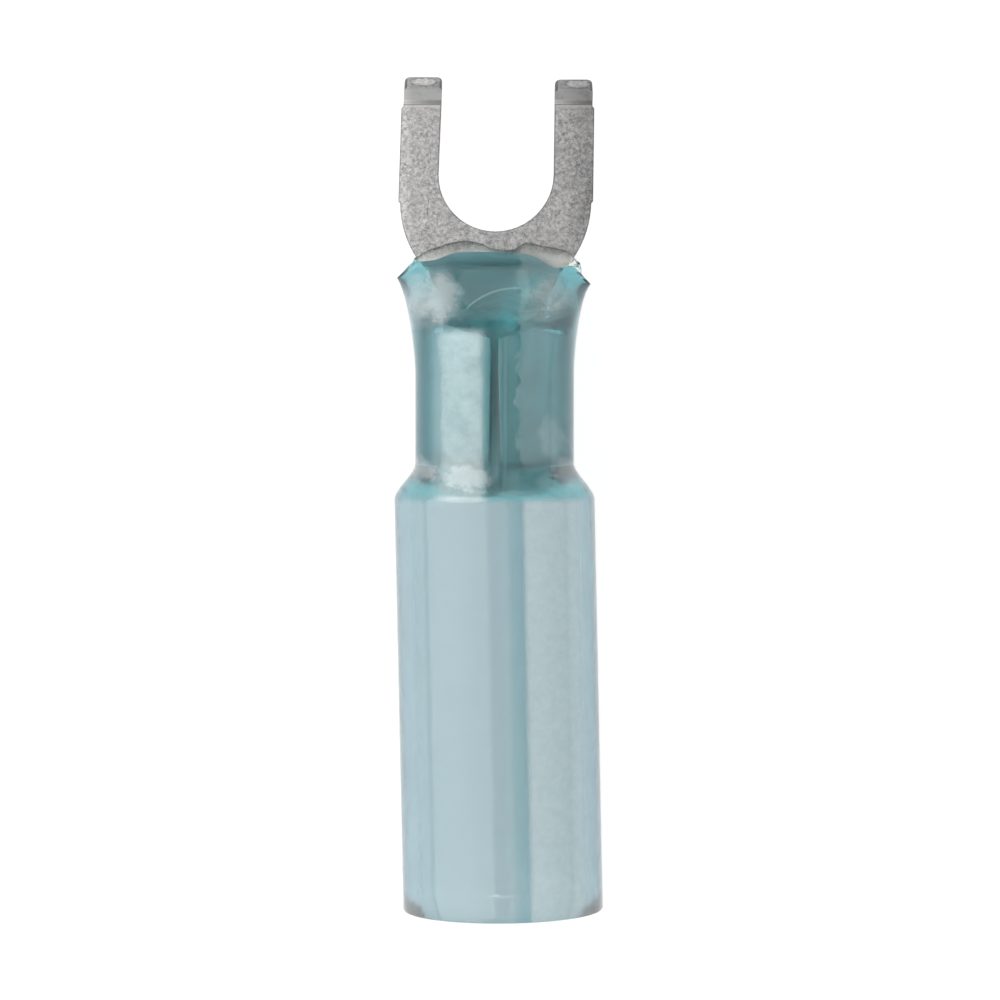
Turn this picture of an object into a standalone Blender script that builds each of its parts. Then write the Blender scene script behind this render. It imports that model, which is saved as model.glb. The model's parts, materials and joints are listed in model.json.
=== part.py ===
"""Fork terminal for wiring: a stamped and rolled fork of tinned copper in a heat-shrink sleeve with an
adhesive lining.

It lies along Y on its free tube, with the fork towards +Y and the barrel's seam and the upturned tips
towards +Z. Sizes are in millimetres, and each mesh is turned into metres once it is made. Before the
finished model is set down, z = 0 is the barrel's axis and y = 0 the barrel's rear edge.
"""

from math import cos, pi, radians, sin, sqrt, tan

import bmesh
import bpy
from mathutils import Matrix, Vector

MM = 0.001

# Sheet and barrel
SHEET = 0.80
BARREL_BORE = 2.50
BARREL_LENGTH = 5.52
SEAM_REAR = 0.42
SEAM_FRONT = 0.26
EDGE_ROUND = 0.05

# Tongue, with its stations counted forwards from the barrel's front edge
UNROLL_LENGTH = 2.60
SLOT_CENTRE_AHEAD = 6.14
SLOT_WIDTH = 4.30
TONGUE_WIDTH = 7.10
LAND = 0.07
LAND_START_AHEAD = 5.05
LAND_LENGTH = 3.51
SHOULDER_RADIUS = 3.70
SHOULDER_TANGENT_AHEAD = 5.07
NECK_SHARE = 0.68
WING_SWEEP = 1.80
WING_POWER = 3.0
FORK_LEAN = radians(0.7)
LEFT_LEG_LEAN = radians(1.8)

# Upturned tips
BEND_START_AHEAD = 8.71
BEND_INNER_RADIUS = 0.30
TIP_ANGLE = radians(32)
TIP_FLAT = 0.53
TIP_CORNER = 0.20
RIGHT_LEG_SHORTER = 0.10

# Sleeve walls, counted outwards from the barrel, and the clearances between the pieces
BARREL_CLEARANCE = 0.06
TONGUE_CLEARANCE = 0.05
LAYER_CLEARANCE = 0.03
LINING_WAIST_WALL = 0.31
LINING_TUBE_WALL = 0.24
FILM_WALL = 0.19
JACKET_WAIST_WALL = 0.48
JACKET_TUBE_WALL = 0.34
JACKET_LIP_WALL = 0.33

# Sleeve, with its mouth counted from the barrel's front edge
TUBE_BORE = 6.18
TUBE_LENGTH = 15.15
TUBE_LEAN = radians(1.2)
OPEN_END_SKEW = 0.0085
SHOULDER_BACK_Y = -0.44
SHOULDER_FRONT_Y = 0.97
FLARE_START_BEHIND = 1.32
FLARE_POWER = 1.55
TOP_FALL_START_AHEAD = 0.10
LIP_AHEAD = 3.21
MOUTH_STAND = 0.08
MOUTH_SHIFT = -0.03
LIP_SWEEP = 1.04
LIP_SKEW = 0.12
ROUND = 2.0
MOUTH_SQUARENESS = 3.3
HOLLOW_SETBACK = 0.45
HOLLOW_INSET = 0.20

# Film of adhesive squeezed out in front of the lip
FILM_REACH = 0.39
FILM_AHEAD = 0.13
FILM_NOTCH_X = 0.35
FILM_NOTCH_WIDTH = 0.50
FILM_SIDE = 0.07
FILM_FLANK_BACK = 0.25
FILM_ROOT_SHARE = 0.8
FILM_CORNER = 1.08
FILM_FLATNESS = 3.0

# Facets
ROLL_STEPS = 48
SLEEVE_STEPS = 48
BEND_STEPS = 5
ARC_STEPS = 12
UNROLL_ROWS = 11
CUTTER_ROWS = 18
FLARE_ROWS = 13
SHOULDER_ROWS = 7
FILM_ROWS = 3

# Worked out from the sizes above
ROLL_RADIUS = (BARREL_BORE + SHEET) / 2
BARREL_RADIUS = BARREL_BORE / 2 + SHEET
TONGUE_MIDDLE_Z = -ROLL_RADIUS
TONGUE_TOP_Z = TONGUE_MIDDLE_Z + SHEET / 2
TONGUE_UNDER_Z = TONGUE_MIDDLE_Z - SHEET / 2
NECK_WIDTH = TONGUE_WIDTH * NECK_SHARE
MOUTH_WIDTH = TONGUE_WIDTH + 2 * MOUTH_STAND
NECK_Y = BARREL_LENGTH + WING_SWEEP
UNROLL_END_Y = BARREL_LENGTH + UNROLL_LENGTH
SLOT_CENTRE_Y = BARREL_LENGTH + SLOT_CENTRE_AHEAD
LAND_START_Y = BARREL_LENGTH + LAND_START_AHEAD
LAND_END_Y = LAND_START_Y + LAND_LENGTH
SHOULDER_TANGENT_Y = BARREL_LENGTH + SHOULDER_TANGENT_AHEAD
BEND_START_Y = BARREL_LENGTH + BEND_START_AHEAD
FLARE_START_Y = BARREL_LENGTH - FLARE_START_BEHIND
TOP_FALL_START_Y = BARREL_LENGTH + TOP_FALL_START_AHEAD
LIP_Y = BARREL_LENGTH + LIP_AHEAD
FILM_EDGE_Y = LIP_Y + FILM_AHEAD
HOLLOW_RADIUS = BARREL_RADIUS + BARREL_CLEARANCE
WAIST_RADIUS = HOLLOW_RADIUS + LINING_WAIST_WALL + LAYER_CLEARANCE + JACKET_WAIST_WALL
TUBE_RADIUS = TUBE_BORE / 2 + LINING_TUBE_WALL + LAYER_CLEARANCE + JACKET_TUBE_WALL
LIP_WALLS = TONGUE_CLEARANCE + FILM_WALL + LAYER_CLEARANCE + JACKET_LIP_WALL
OPEN_END_Y = SHOULDER_BACK_Y - TUBE_LENGTH


def clear_scene():
    for leftover in list(bpy.data.objects):
        bpy.data.objects.remove(leftover, do_unlink=True)


def new_collection(name):
    collection = bpy.data.collections.new(name)
    bpy.context.scene.collection.children.link(collection)
    return collection


def material(name, colour, metallic, roughness, transmission=0.0):
    made = bpy.data.materials.new(name)
    made.use_nodes = True
    shader = made.node_tree.nodes["Principled BSDF"]
    shader.inputs["Base Color"].default_value = (*colour, 1.0)
    shader.inputs["Metallic"].default_value = metallic
    shader.inputs["Roughness"].default_value = roughness
    shader.inputs["Transmission Weight"].default_value = transmission
    made.diffuse_color = (*colour, 1.0)
    return made


def ease(value, start, end):
    """0 before start and 1 after end, with a smooth S between them."""
    t = min(max((value - start) / (end - start), 0.0), 1.0)
    return t * t * (3 - 2 * t)


def mix(a, b, share):
    return a + (b - a) * share


def arc(centre, radius, from_deg, to_deg, steps):
    """Points along an arc, both ends included."""
    angles = [radians(mix(from_deg, to_deg, i / steps)) for i in range(steps + 1)]
    return [(centre[0] + radius * cos(a), centre[1] + radius * sin(a)) for a in angles]


def object_from(bm, name, collection, look, smooth_below=radians(35)):
    """Turns a mesh in millimetres into an object in metres, shaded smooth up to an angle."""
    bmesh.ops.recalc_face_normals(bm, faces=bm.faces)
    mesh = bpy.data.meshes.new(name)
    bm.to_mesh(mesh)
    bm.free()
    mesh.transform(Matrix.Scale(MM, 4))
    mesh.shade_smooth()
    mesh.set_sharp_from_angle(angle=smooth_below)
    made = bpy.data.objects.new(name, mesh)
    if look:
        mesh.materials.append(look)
    collection.objects.link(made)
    return made


def loft(rings, closed_tube):
    """Skins a run of rings. A closed tube joins its last ring to its first, and any other body is capped."""
    bm = bmesh.new()
    loops = [[bm.verts.new(co) for co in points] for points in rings]
    pairs = list(zip(loops, loops[1:]))
    if closed_tube:
        pairs.append((loops[-1], loops[0]))
    for first, second in pairs:
        for i in range(len(first)):
            j = (i + 1) % len(first)
            bm.faces.new((first[i], first[j], second[j], second[i]))
    if not closed_tube:
        bm.faces.new(loops[0][::-1])
        bm.faces.new(loops[-1])
    return bm


# The fork terminal, formed from a flat blank


def blank_half_width(y):
    """Half the flat blank's width from the barrel's front corner, over the neck, to beside the slot."""
    neck = NECK_WIDTH / 2
    if y < NECK_Y:
        wing = pi * ROLL_RADIUS - SEAM_FRONT / 2
        return mix(neck, wing, min((NECK_Y - y) / WING_SWEEP, 1.0) ** WING_POWER)
    centre_x = TONGUE_WIDTH / 2 - SHOULDER_RADIUS
    below = max(SHOULDER_TANGENT_Y - y, 0.0)
    return max(centre_x + sqrt(max(SHOULDER_RADIUS**2 - below**2, 0.0)), neck)


def leg_outline(shorter):
    """One side of the blank at +X, from the bottom of the slot round the leg to the barrel's rear corner."""
    slot = SLOT_WIDTH / 2
    side = TONGUE_WIDTH / 2
    bend_length = (BEND_INNER_RADIUS + SHEET / 2) * TIP_ANGLE
    tip = BEND_START_Y + bend_length + TIP_FLAT - shorter
    points = arc((0, SLOT_CENTRE_Y), slot, -90, 0, ARC_STEPS)
    points += arc((slot + TIP_CORNER, tip - TIP_CORNER), TIP_CORNER, 180, 90, 3)
    points += arc((side - TIP_CORNER, tip - TIP_CORNER), TIP_CORNER, 90, 0, 3)
    points += [(side, LAND_END_Y + LAND), (side + LAND, LAND_END_Y)]
    points += [(side + LAND, LAND_START_Y + LAND)]
    edge_rows = [mix(LAND_START_Y, NECK_Y, i / ARC_STEPS) for i in range(ARC_STEPS)]
    edge_rows += [mix(NECK_Y, BARREL_LENGTH, i / ARC_STEPS) for i in range(ARC_STEPS + 1)]
    points += [(blank_half_width(y), y) for y in edge_rows]
    points.append((pi * ROLL_RADIUS - SEAM_REAR / 2, 0.0))
    return points


def blank_outline():
    """The whole outline, with the fork leaning a little to the right and its left leg to the slot."""
    left = []
    for x, y in leg_outline(0.0):
        left.append((-x + tan(LEFT_LEG_LEAN) * max(y - SLOT_CENTRE_Y, 0.0), y))
    whole = leg_outline(RIGHT_LEG_SHORTER) + left[:0:-1]
    return [(x + tan(FORK_LEAN) * max(y - NECK_Y, 0.0), y) for x, y in whole]


def flat_blank():
    """The sheet before forming: the outline filled and given the sheet's thickness about z = 0."""
    curve = bpy.data.curves.new("blank_outline", "CURVE")
    curve.dimensions = "2D"
    curve.fill_mode = "BOTH"
    curve.extrude = SHEET / 2
    outline = blank_outline()
    spline = curve.splines.new("POLY")
    spline.points.add(len(outline) - 1)
    for point, (x, y) in zip(spline.points, outline):
        point.co = (x, y, 0.0, 1.0)
    spline.use_cyclic_u = True
    flat = bpy.data.objects.new("blank_outline", curve)
    bpy.context.scene.collection.objects.link(flat)
    graph = bpy.context.evaluated_depsgraph_get()
    mesh = bpy.data.meshes.new_from_object(flat.evaluated_get(graph))
    bm = bmesh.new()
    bm.from_mesh(mesh)
    bpy.data.objects.remove(flat)
    bpy.data.curves.remove(curve)
    bpy.data.meshes.remove(mesh)
    bmesh.ops.remove_doubles(bm, verts=bm.verts, dist=0.001)
    bmesh.ops.dissolve_limit(bm, angle_limit=radians(0.5), verts=bm.verts, edges=bm.edges)
    return bm


def score(bm, point, normal, within=None):
    """Cuts new edges across the sheet where it is about to bend."""
    faces = [f for f in bm.faces if within is None or within(f)]
    edges = {e for f in faces for e in f.edges}
    verts = {v for f in faces for v in f.verts}
    geometry = [*verts, *edges, *faces]
    bmesh.ops.bisect_plane(bm, geom=geometry, dist=1e-5, plane_co=point, plane_no=normal)


def roll(co):
    """Curls the sheet upwards about a line along Y: a full barrel at the rear and flat by the tongue."""
    curl = (1 - ease(co.y, BARREL_LENGTH, UNROLL_END_Y)) / ROLL_RADIUS
    if curl * ROLL_RADIUS < 1e-4:
        return Vector((co.x, co.y, TONGUE_MIDDLE_Z + co.z))
    radius = 1 / curl - co.z
    angle = co.x * curl
    return Vector((radius * sin(angle), co.y, TONGUE_MIDDLE_Z + 1 / curl - radius * cos(angle)))


def turn_up_tip(co):
    """Bends the end of a leg up about a line along X."""
    along = co.y - BEND_START_Y
    if along <= 0:
        return co
    middle = BEND_INNER_RADIUS + SHEET / 2
    radius = middle - (co.z - TONGUE_MIDDLE_Z)
    angle = min(along / middle, TIP_ANGLE)
    flat = max(along - middle * TIP_ANGLE, 0.0)
    y = BEND_START_Y + radius * sin(angle) + flat * cos(angle)
    z = TONGUE_MIDDLE_Z + middle - radius * cos(angle) + flat * sin(angle)
    return Vector((co.x, y, z))


def formed_sheet():
    """The blank scored, rolled and bent."""
    bm = flat_blank()
    middle = BEND_INNER_RADIUS + SHEET / 2
    for i in range(BEND_STEPS + 1):
        score(bm, (0, BEND_START_Y + middle * TIP_ANGLE * i / BEND_STEPS, 0), (0, 1, 0))
    for i in range(UNROLL_ROWS + 1):
        score(bm, (0, mix(BARREL_LENGTH, UNROLL_END_Y, i / UNROLL_ROWS), 0), (0, 1, 0))

    def rolled(face):
        return face.calc_center_median().y < UNROLL_END_Y

    for i in range(-ROLL_STEPS // 2, ROLL_STEPS // 2 + 1):
        score(bm, (2 * pi * ROLL_RADIUS * i / ROLL_STEPS, 0, 0), (1, 0, 0), rolled)
    bmesh.ops.triangulate(bm, faces=[f for f in bm.faces if len(f.verts) > 4], ngon_method="BEAUTY")
    for vert in bm.verts:
        vert.co = turn_up_tip(roll(vert.co))
    return bm


def make_fork(collection):
    tinned = material("tinned_copper", (0.62, 0.61, 0.59), 1.0, 0.38)
    fork = object_from(formed_sheet(), "fork_terminal", collection, tinned)
    rounding = fork.modifiers.new("edge_rounding", "BEVEL")
    rounding.width = EDGE_ROUND * MM
    rounding.segments = 2
    rounding.limit_method = "ANGLE"
    rounding.angle_limit = radians(50)
    return fork


def make_clearance_cutter(collection):
    """The sheet's own space inside the sleeve, from within the barrel to in front of the film, grown by the
    tongue's clearance on every side."""
    half_sheet = SHEET / 2 + TONGUE_CLEARANCE
    start = BARREL_LENGTH - SHEET
    end = FILM_EDGE_Y + FILM_REACH + SHEET / 4
    rings = []
    for row in range(CUTTER_ROWS + 1):
        y = mix(start, end, row / CUTTER_ROWS)
        half = blank_half_width(y) + TONGUE_CLEARANCE
        across = [mix(-half, half, i / ROLL_STEPS) for i in range(ROLL_STEPS + 1)]
        section = [(x, y, -half_sheet) for x in across] + [(x, y, half_sheet) for x in reversed(across)]
        rings.append([roll(Vector(co)) for co in section])
    cutter = object_from(loft(rings, False), "fork_clearance", collection, None)
    cutter.hide_render = True
    cutter.display_type = "WIRE"
    return cutter


# The sleeve: both of its layers follow one outer form, each at its own depth below it


def shoulder_share(y):
    return ease(y, SHOULDER_BACK_Y, SHOULDER_FRONT_Y)


def flare_share(y):
    return min(max((y - FLARE_START_Y) / (LIP_Y - FLARE_START_Y), 0.0), 1.0)


def half_width(y):
    radius = mix(TUBE_RADIUS, WAIST_RADIUS, shoulder_share(y))
    return radius + (MOUTH_WIDTH / 2 - WAIST_RADIUS) * flare_share(y) ** FLARE_POWER


def top_height(y):
    radius = mix(TUBE_RADIUS, WAIST_RADIUS, shoulder_share(y))
    return mix(radius, TONGUE_TOP_Z + LIP_WALLS, ease(y, TOP_FALL_START_Y, LIP_Y))


def under_height(y):
    radius = mix(TUBE_RADIUS, WAIST_RADIUS, shoulder_share(y))
    return mix(-radius, TONGUE_UNDER_Z - LIP_WALLS, ease(y, FLARE_START_Y, LIP_Y))


def middle_height(y):
    return TONGUE_MIDDLE_Z * ease(y, FLARE_START_Y, LIP_Y)


def stretch(height, y):
    """How much longer a wall is measured straight up than square to a sloping top."""
    step = 0.01
    return sqrt(1 + ((height(y + step) - height(y - step)) / (2 * step)) ** 2)


def jacket_wall(y):
    wall = mix(JACKET_TUBE_WALL, JACKET_WAIST_WALL, shoulder_share(y))
    return mix(wall, JACKET_LIP_WALL, ease(y, FLARE_START_Y, LIP_Y))


def ring(y, wide, top, under, middle, squareness=ROUND, swept=0.0):
    """One cross-section: an ellipse with its own height above and below its widest line."""
    lean = tan(TUBE_LEAN) * max(SHOULDER_BACK_Y - y, 0.0)
    cut = OPEN_END_SKEW if y <= OPEN_END_Y else 0.0
    points = []
    for i in range(SLEEVE_STEPS):
        angle = 2 * pi * i / SLEEVE_STEPS
        c, s = cos(angle), sin(angle)
        across = abs(c) ** (2 / squareness) * (1 if c > 0 else -1)
        up = abs(s) ** (2 / squareness) * (1 if s > 0 else -1)
        height = top - middle if s > 0 else middle - under
        back = swept * (LIP_SWEEP * abs(across) ** 3 + LIP_SKEW * across)
        shift = lean + MOUTH_SHIFT * flare_share(y)
        points.append((wide * across + shift, y - back + cut * wide * across, middle + height * up))
    return points


def layer_ring(y, depth):
    """The cross-section that lies a given depth below the sleeve's outside."""
    return ring(
        y,
        half_width(y) - depth,
        top_height(y) - depth * stretch(top_height, y),
        under_height(y) + depth * stretch(under_height, y),
        middle_height(y),
        mix(ROUND, MOUTH_SQUARENESS, flare_share(y)),
        flare_share(y) ** 3,
    )


def hollow_ring(y):
    """The cross-section of the bore inside the lining, which runs out inside the tongue's own metal."""
    depth = jacket_wall(y) + LAYER_CLEARANCE + mix(LINING_TUBE_WALL, LINING_WAIST_WALL, shoulder_share(y))
    if y <= FLARE_START_Y:
        return layer_ring(y, depth)
    top = top_height(y) - depth * stretch(top_height, y)
    top = max(top, TONGUE_TOP_Z - HOLLOW_INSET)
    buried = ease(y, BARREL_LENGTH, LIP_Y - HOLLOW_SETBACK)
    under = mix(-HOLLOW_RADIUS, TONGUE_UNDER_Z + HOLLOW_INSET, buried)
    return ring(y, HOLLOW_RADIUS, top, under, (top + under) / 2)


def sleeve_rows():
    """Where the sleeve's cross-sections stand, from the open end to the lip."""
    rows = [OPEN_END_Y]
    rows += [mix(SHOULDER_BACK_Y, SHOULDER_FRONT_Y, i / SHOULDER_ROWS) for i in range(SHOULDER_ROWS + 1)]
    rows += [mix(FLARE_START_Y, LIP_Y, i / FLARE_ROWS) for i in range(FLARE_ROWS + 1)]
    return rows


def make_jacket(collection):
    """The blue outer layer: out along its outside to the lip, and back along its inside."""
    rows = sleeve_rows()
    rings = [layer_ring(y, 0.0) for y in rows]
    rings += [layer_ring(y, jacket_wall(y)) for y in reversed(rows)]
    blue = material("blue_jacket", (0.26, 0.58, 0.66), 0.0, 0.25, 0.7)
    return object_from(loft(rings, True), "heat_shrink_sleeve", collection, blue)


def film_rings(lip):
    """The film in front of the lip: from the lining's own section under the lip down to a thin edge, and
    closed inside the tongue's metal."""
    wide = blank_half_width(FILM_EDGE_Y - FILM_FLANK_BACK) + TONGUE_CLEARANCE + FILM_SIDE
    walls = TONGUE_CLEARANCE + FILM_WALL / 2
    top = TONGUE_TOP_Z + walls
    under = TONGUE_UNDER_Z - walls
    lobed = []
    for i in range(SLEEVE_STEPS):
        angle = 2 * pi * i / SLEEVE_STEPS
        x = wide * min(max(FILM_CORNER * cos(angle), -1.0), 1.0) + MOUTH_SHIFT
        z = mix(under, top, (min(max(FILM_FLATNESS * sin(angle), -1.0), 1.0) + 1) / 2)
        notch = ((x - FILM_NOTCH_X) / FILM_NOTCH_WIDTH) ** 2
        side = min(abs(x / wide), 1.0) ** 4
        forward = FILM_REACH * (1 - side) * notch / (1 + notch)
        lobed.append((x, FILM_EDGE_Y + forward - FILM_FLANK_BACK * side, z))
    rings = []
    for i in range(1, FILM_ROWS + 1):
        share = i / FILM_ROWS
        rings.append([Vector(a).lerp(Vector(b), share) for a, b in zip(lip, lobed)])
    root = []
    for x, y, z in lobed:
        side = 1 if z > TONGUE_MIDDLE_Z else -1
        root.append((x * FILM_ROOT_SHARE, y, TONGUE_MIDDLE_Z + side * SHEET / 4))
    rings.append(root)
    return rings


def make_lining(collection, cutter):
    """The clear inner layer, hollow behind the tongue, with the formed sheet's own space cut out of it."""
    rows = sleeve_rows()
    hollow_rows = [y for y in rows if y < LIP_Y - HOLLOW_SETBACK]
    outside = [layer_ring(y, jacket_wall(y) + LAYER_CLEARANCE) for y in rows]
    inside = [hollow_ring(y) for y in reversed(hollow_rows)]
    rings = inside + outside + film_rings(outside[-1])
    clear = material("hot_melt_adhesive", (0.80, 0.82, 0.74), 0.0, 0.30, 0.8)
    lining = object_from(loft(rings, False), "adhesive_lining", collection, clear)
    space = lining.modifiers.new("fork_space", "BOOLEAN")
    space.operation = "DIFFERENCE"
    space.object = cutter
    return lining


def set_down(parts, root):
    """Moves the whole terminal so that it lies on z = 0 with its box centred on X and Y."""
    graph = bpy.context.evaluated_depsgraph_get()
    corners = []
    for part in parts:
        mesh = part.evaluated_get(graph).to_mesh()
        corners += [v.co.copy() for v in mesh.vertices]
    low = Vector([min(c[i] for c in corners) for i in range(3)])
    high = Vector([max(c[i] for c in corners) for i in range(3)])
    root.location = (-(low.x + high.x) / 2, -(low.y + high.y) / 2, -low.z)


def main():
    clear_scene()
    terminal = new_collection("fork_terminal_assembly")
    cutters = new_collection("cutters")
    cutters.hide_render = True
    root = bpy.data.objects.new("terminal_root", None)
    terminal.objects.link(root)
    cutter = make_clearance_cutter(cutters)
    parts = [make_fork(terminal), make_jacket(terminal), make_lining(terminal, cutter)]
    set_down(parts, root)
    for piece in (*parts, cutter):
        piece.parent = root
    bpy.context.view_layer.update()


main()
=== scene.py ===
# %% [markdown]
# # A crimp fork terminal in a heat-shrink sleeve
# The real thing is three pieces: a fork stamped and rolled from tinned copper sheet, a translucent blue
# sleeve shrunk over its barrel, and a clear hot-melt adhesive that lines the sleeve and squeezes out in
# front of its lip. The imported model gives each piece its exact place. This lesson dresses the pieces: it
# loads them, sets up the camera and the light, and then makes the surfaces and materials one at a time.

# %% Loading the frame
import json
from math import atan2, cos, exp, pi, radians, sin, sqrt, tan

import bmesh
import bpy
from mathutils import Matrix, Vector
from mathutils.bvhtree import BVHTree

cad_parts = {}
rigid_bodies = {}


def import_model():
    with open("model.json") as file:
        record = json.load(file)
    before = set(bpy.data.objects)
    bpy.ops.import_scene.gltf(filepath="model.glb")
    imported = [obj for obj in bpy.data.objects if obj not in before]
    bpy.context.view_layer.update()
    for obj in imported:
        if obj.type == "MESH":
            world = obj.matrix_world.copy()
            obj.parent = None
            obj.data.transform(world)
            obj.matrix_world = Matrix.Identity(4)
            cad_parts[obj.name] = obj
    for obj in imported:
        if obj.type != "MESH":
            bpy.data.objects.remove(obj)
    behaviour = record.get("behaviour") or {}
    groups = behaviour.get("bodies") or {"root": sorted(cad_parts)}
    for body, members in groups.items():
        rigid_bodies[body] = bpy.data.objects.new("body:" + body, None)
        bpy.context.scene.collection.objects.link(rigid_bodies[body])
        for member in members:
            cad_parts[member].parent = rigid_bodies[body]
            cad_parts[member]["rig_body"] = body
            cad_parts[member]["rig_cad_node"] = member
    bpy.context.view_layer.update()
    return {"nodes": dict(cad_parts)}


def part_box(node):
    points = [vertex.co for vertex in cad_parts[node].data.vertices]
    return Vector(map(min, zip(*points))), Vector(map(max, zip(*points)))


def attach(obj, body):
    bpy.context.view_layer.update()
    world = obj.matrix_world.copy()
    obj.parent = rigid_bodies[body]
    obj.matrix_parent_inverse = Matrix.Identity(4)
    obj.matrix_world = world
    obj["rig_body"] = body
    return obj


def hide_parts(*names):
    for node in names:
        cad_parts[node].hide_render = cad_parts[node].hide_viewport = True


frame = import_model()
MM = 0.001
scene = bpy.context.scene
for node in frame["nodes"]:
    low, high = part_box(node)
    print(node, [round(v / MM, 2) for v in low], [round(v / MM, 2) for v in high])

# %% [markdown]
# ## Camera
# The photograph looks almost straight down on the terminal. A long lens from 13 cm away gives the same
# slight widening of what is nearer, and a tilt of two degrees shows a little of the open end's rim.

# %% The camera over the terminal
CAMERA_PLACE = (0.04, 4.32, 134.72)
CAMERA_TILT = radians(-2.0)
FOCAL_PIXELS = 3550
FRAME_PIXELS = 1000
SENSOR_WIDTH = 36.0
camera_data = bpy.data.cameras.new("overhead_camera")
camera_data.sensor_width = SENSOR_WIDTH
camera_data.lens = FOCAL_PIXELS * SENSOR_WIDTH / FRAME_PIXELS
camera_data.clip_start = 0.005
camera_data.clip_end = 20.0
camera = bpy.data.objects.new("overhead_camera", camera_data)
camera.location = [value * MM for value in CAMERA_PLACE]
camera.rotation_euler = (CAMERA_TILT, 0, 0)
scene.collection.objects.link(camera)
scene.camera = camera
print("lens", round(camera_data.lens, 1), "mm, camera at", CAMERA_PLACE, "mm")

# %% [markdown]
# ## Floor and light
# Small clear things are photographed on a light table: a white sheet that glows a little, so light also
# comes up through the sleeve and no shadow falls beside it. A broad soft panel stands on the left and a
# weaker one on the right. The dark gap between them keeps the metal from going flat and white.

# %% A plain white light table
FLOOR_SIZE = 3.0
FLOOR_DROP = 0.02
FLOOR_GREY = 0.15
FLOOR_GLOW = 0.93
WHITE = (1.0, 1.0, 1.0, 1.0)
bpy.ops.object.select_all(action="DESELECT")
bpy.ops.mesh.primitive_plane_add(size=FLOOR_SIZE, location=(0, 0, -FLOOR_DROP * MM))
floor = bpy.context.object
floor.name = "floor"
paper = bpy.data.materials.new("lit_white_paper")
paper.use_nodes = True
paper_shader = paper.node_tree.nodes["Principled BSDF"]
paper_shader.inputs["Base Color"].default_value = (FLOOR_GREY, FLOOR_GREY, FLOOR_GREY, 1.0)
paper_shader.inputs["Roughness"].default_value = 0.9
paper_shader.inputs["Emission Color"].default_value = WHITE
paper_shader.inputs["Emission Strength"].default_value = FLOOR_GLOW
floor.data.materials.append(paper)
print("floor", FLOOR_SIZE, "m wide")


# %% Two panels of soft light
def panel(name, angle_deg, distance, width, length, radiance):
    """A soft panel that leans over the terminal by an angle from straight up, + to the right."""
    light = bpy.data.lights.new(name, "AREA")
    light.shape = "RECTANGLE"
    light.size = width
    light.size_y = length
    light.energy = radiance * pi * width * length
    lamp = bpy.data.objects.new(name, light)
    angle = radians(angle_deg)
    lamp.location = (distance * sin(angle), 0, distance * cos(angle))
    lamp.rotation_euler = (0, angle, 0)
    scene.collection.objects.link(lamp)
    return lamp


panel("left_panel", angle_deg=-46, distance=0.30, width=0.45, length=0.60, radiance=1.5)
panel("right_panel", angle_deg=60.5, distance=0.30, width=0.27, length=0.60, radiance=0.6)

# %% [markdown]
# ## The surround
# Shiny and clear things show what stands around them, even where it never enters the picture. The surround
# here is a pale grey whose brightness depends only on how far a direction leans left or right of straight
# up, as under a long tent. The leans and their greys are a plain list, which a colour ramp reads.

# %% A soft pale surround with a darker gap between the panels
SURROUND_STRENGTH = 0.5
# lean in degrees, + to the right, and the grey of the surround there
LEAN_STOPS = [(-90, 0.4), (-80, 0.95), (13, 0.95), (17, 0.42), (33, 0.42), (37, 0.8), (78, 0.7), (90, 0.15)]
world = bpy.data.worlds.new("studio")
scene.world = world
world.use_nodes = True
sky = world.node_tree
background = sky.nodes["Background"]
background.inputs["Strength"].default_value = SURROUND_STRENGTH
direction = sky.nodes.new("ShaderNodeTexCoord")
apart = sky.nodes.new("ShaderNodeSeparateXYZ")
sky.links.new(direction.outputs["Generated"], apart.inputs[0])
lean = sky.nodes.new("ShaderNodeMath")
lean.operation = "ARCTAN2"
sky.links.new(apart.outputs["X"], lean.inputs[0])
sky.links.new(apart.outputs["Z"], lean.inputs[1])
ramp = sky.nodes.new("ShaderNodeValToRGB")
turn = sky.nodes.new("ShaderNodeMapRange")
turn.inputs["From Min"].default_value = -pi / 2
turn.inputs["From Max"].default_value = pi / 2
sky.links.new(lean.outputs[0], turn.inputs["Value"])
sky.links.new(turn.outputs["Result"], ramp.inputs["Fac"])
sky.links.new(ramp.outputs["Color"], background.inputs["Color"])
while len(ramp.color_ramp.elements) > 1:
    ramp.color_ramp.elements.remove(ramp.color_ramp.elements[-1])
for number, (angle_deg, grey) in enumerate(LEAN_STOPS):
    place = (angle_deg + 90) / 180
    stop = ramp.color_ramp.elements[0] if number == 0 else ramp.color_ramp.elements.new(place)
    stop.position = place
    stop.color = (grey, grey, grey, 1.0)

# %% [markdown]
# ## How far light is followed
# A ray that crosses the sleeve and its lining from top to bottom passes eight surfaces, and one that slants
# through a wall passes more. So many crossings are allowed, while the plain bounces stay few and quick.

# %% Bounces and plain colours
scene.view_settings.view_transform = "Standard"
scene.cycles.max_bounces = 20
scene.cycles.transmission_bounces = 20
scene.cycles.diffuse_bounces = 3
scene.cycles.glossy_bounces = 4

# %% [markdown]
# ## Where things are
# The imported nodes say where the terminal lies. The free tube rests on the floor, so its radius is half of
# the sleeve's height, and the fork's lowest Y is the barrel's rear edge. Stations along the terminal are
# counted from there in millimetres, as on the drawing.

# %% Reading the main sizes from the frame
sleeve_low, sleeve_high = [Vector(corner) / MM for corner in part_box("heat_shrink_sleeve")]
fork_low = Vector(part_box("fork_terminal")[0]) / MM
TUBE_RADIUS = sleeve_high.z / 2
AXIS = Vector((sleeve_low.x + TUBE_RADIUS, fork_low.y, TUBE_RADIUS))
END_SKEW = 0.0085
OPEN_END = sleeve_low.y - AXIS.y + 0.03
print("tube radius", round(TUBE_RADIUS, 3), "barrel starts at", [round(v, 3) for v in AXIS])
print("open end at", round(OPEN_END, 2), "and cut askew by", END_SKEW, "of its width")

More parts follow.
